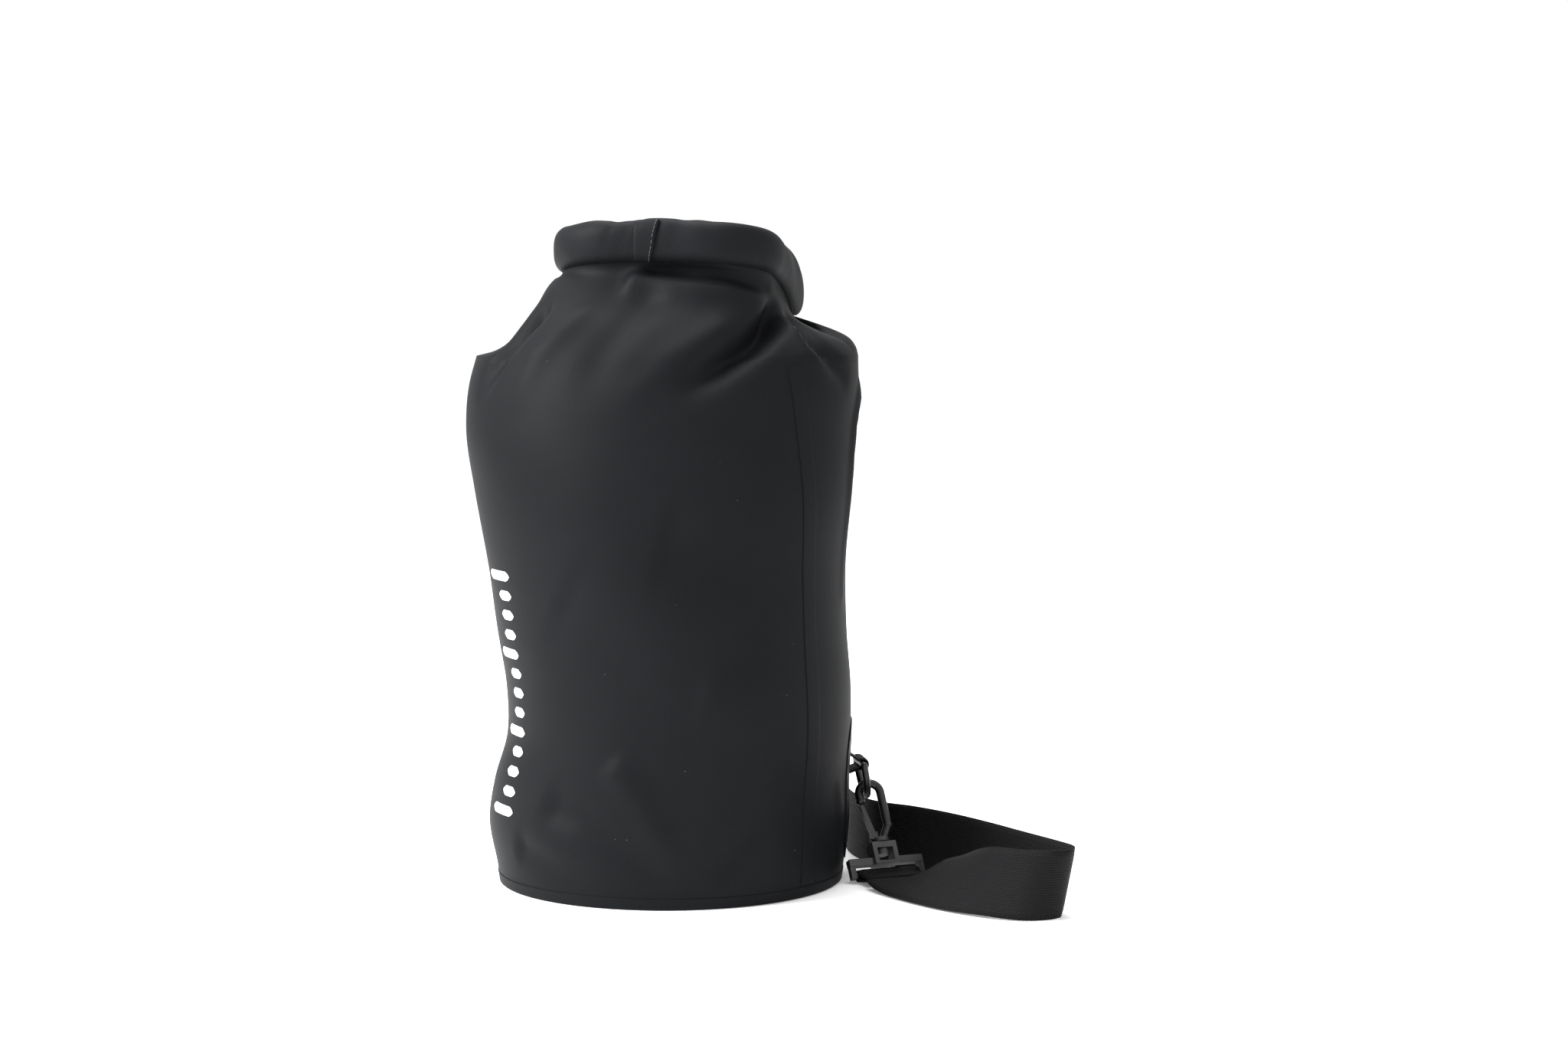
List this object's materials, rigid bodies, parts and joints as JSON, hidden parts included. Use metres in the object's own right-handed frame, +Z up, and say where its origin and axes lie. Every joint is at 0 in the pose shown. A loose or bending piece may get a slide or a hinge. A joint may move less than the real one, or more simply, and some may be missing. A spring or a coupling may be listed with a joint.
{
  "type": "rope storage bag",
  "caption": "Soft cylindrical roll-top rope bag with a welded round base, a rolled and buckled mouth, ring loops and a clip-on webbing shoulder strap.",
  "frame": {"origin": "centre of the round base, on the floor", "axes": "+Z up through the bag, -Y towards the front of the rolled mouth, +X towards the side that the strap lies on"},
  "size_m": [0.3581, 0.2977, 0.378],
  "materials": {
    "coated_fabric": "matte coated polyester",
    "shoulder_webbing": "woven polypropylene webbing",
    "closure_webbing": "woven nylon webbing",
    "moulded_acetal": "moulded, fine satin",
    "stiffener_strip": "extruded strip"
  },
  "bodies": {
    "bag": {"body_panel": "coated_fabric", "base_disc": "coated_fabric", "base_rim_weld": "coated_fabric", "side_seam_overlap": "coated_fabric", "rolled_mouth": "coated_fabric", "mouth_hem_joint": "coated_fabric", "front_stiffener": "stiffener_strip", "rear_stiffener": "stiffener_strip", "left_closure_tab": "closure_webbing", "right_closure_tab": "closure_webbing", "buckle_socket": "moulded_acetal", "lower_patch": "coated_fabric", "lower_ring_loop": "closure_webbing", "upper_patch": "coated_fabric", "upper_ring_loop": "closure_webbing", "strap_long_run": "shoulder_webbing", "strap_return": "shoulder_webbing"},
    "buckle_plug_half": {"buckle_plug": "moulded_acetal"},
    "buckle_upper_arm": {"buckle_arm_upper": "moulded_acetal"},
    "buckle_lower_arm": {"buckle_arm_lower": "moulded_acetal"},
    "lower_ring_body": {"lower_ring": "moulded_acetal"},
    "lower_hook_base": {"lower_swivel": "moulded_acetal", "strap_lower_end": "shoulder_webbing"},
    "lower_hook_body": {"lower_hook": "moulded_acetal"},
    "lower_gate": {"lower_hook_gate": "moulded_acetal"},
    "upper_ring_body": {"upper_ring": "moulded_acetal"},
    "upper_hook_base": {"upper_swivel": "moulded_acetal", "strap_upper_end": "shoulder_webbing"},
    "upper_hook_body": {"upper_hook": "moulded_acetal"},
    "upper_gate": {"upper_hook_gate": "moulded_acetal"},
    "slider": {"strap_slider": "moulded_acetal", "slider_end_loop": "shoulder_webbing"}
  },
  "joints": [
    {"name": "buckle_release", "type": "slide", "parent": "bag", "child": "buckle_plug_half", "axis": [1, 0, 0], "range_m": [0, 0.006]},
    {"name": "buckle_arm_upper_squeeze", "type": "hinge", "parent": "buckle_plug_half", "child": "buckle_upper_arm", "pos_m": [-0.001, 0.072, 0.3476], "axis": [0, -1, 0], "range_deg": [0, 9]},
    {"name": "buckle_arm_lower_squeeze", "type": "hinge", "parent": "buckle_plug_half", "child": "buckle_lower_arm", "pos_m": [-0.001, 0.072, 0.3284], "axis": [0, 1, 0], "range_deg": [0, 9]},
    {"name": "lower_hook_swing", "type": "hinge", "parent": "bag", "child": "lower_hook_base", "pos_m": [0.10297, 0.04036, 0.064], "axis": [0.3649, -0.9311, 0], "range_deg": [0, 6]},
    {"name": "lower_ring_swing", "type": "hinge", "parent": "bag", "child": "lower_ring_body", "pos_m": [0.10297, 0.04036, 0.064], "axis": [0.3649, -0.9311, 0], "range_deg": [0, 6]},
    {"name": "lower_hook_swivel", "type": "hinge", "parent": "lower_hook_base", "child": "lower_hook_body", "pos_m": [0.11872, 0.02248, 0.02001], "axis": [-0.2939, 0.4045, 0.866], "range_deg": [-15, 15]},
    {"name": "lower_gate_press", "type": "hinge", "parent": "lower_hook_body", "child": "lower_gate", "pos_m": [0.11444, 0.02305, 0.02384], "axis": [-0.3297, 0.8075, -0.4891], "range_deg": [0, 22], "stiffness_Nm_per_rad": 0.02, "springref_deg": -8.59},
    {"name": "upper_hook_swing", "type": "hinge", "parent": "bag", "child": "upper_hook_base", "pos_m": [0.01841, 0.10439, 0.284], "axis": [0.9848, -0.1736, 0], "range_deg": [0, 20]},
    {"name": "upper_ring_swing", "type": "hinge", "parent": "bag", "child": "upper_ring_body", "pos_m": [0.01841, 0.10439, 0.284], "axis": [0.9848, -0.1736, 0], "range_deg": [0, 20]},
    {"name": "upper_hook_swivel", "type": "hinge", "parent": "upper_hook_base", "child": "upper_hook_body", "pos_m": [0.01987, 0.11266, 0.2343], "axis": [0, 0, 1], "range_deg": [-15, 15]},
    {"name": "upper_gate_press", "type": "hinge", "parent": "upper_hook_body", "child": "upper_gate", "pos_m": [0.02042, 0.11581, 0.2391], "axis": [0.9848, -0.1736, 0], "range_deg": [0, 22], "stiffness_Nm_per_rad": 0.02, "springref_deg": -8.59},
    {"name": "slider_slide", "type": "slide", "parent": "bag", "child": "slider", "axis": [0, 0, 1], "range_m": [-0.018, 0.018]}
  ],
  "couplings": [
    {"joint": "buckle_arm_upper_squeeze", "follows": "buckle_release", "rad_per_m": 26.18},
    {"joint": "buckle_arm_lower_squeeze", "follows": "buckle_release", "rad_per_m": 26.18},
    {"joint": "lower_ring_swing", "follows": "lower_hook_swing", "ratio": 1},
    {"joint": "upper_ring_swing", "follows": "upper_hook_swing", "ratio": 1}
  ]
}
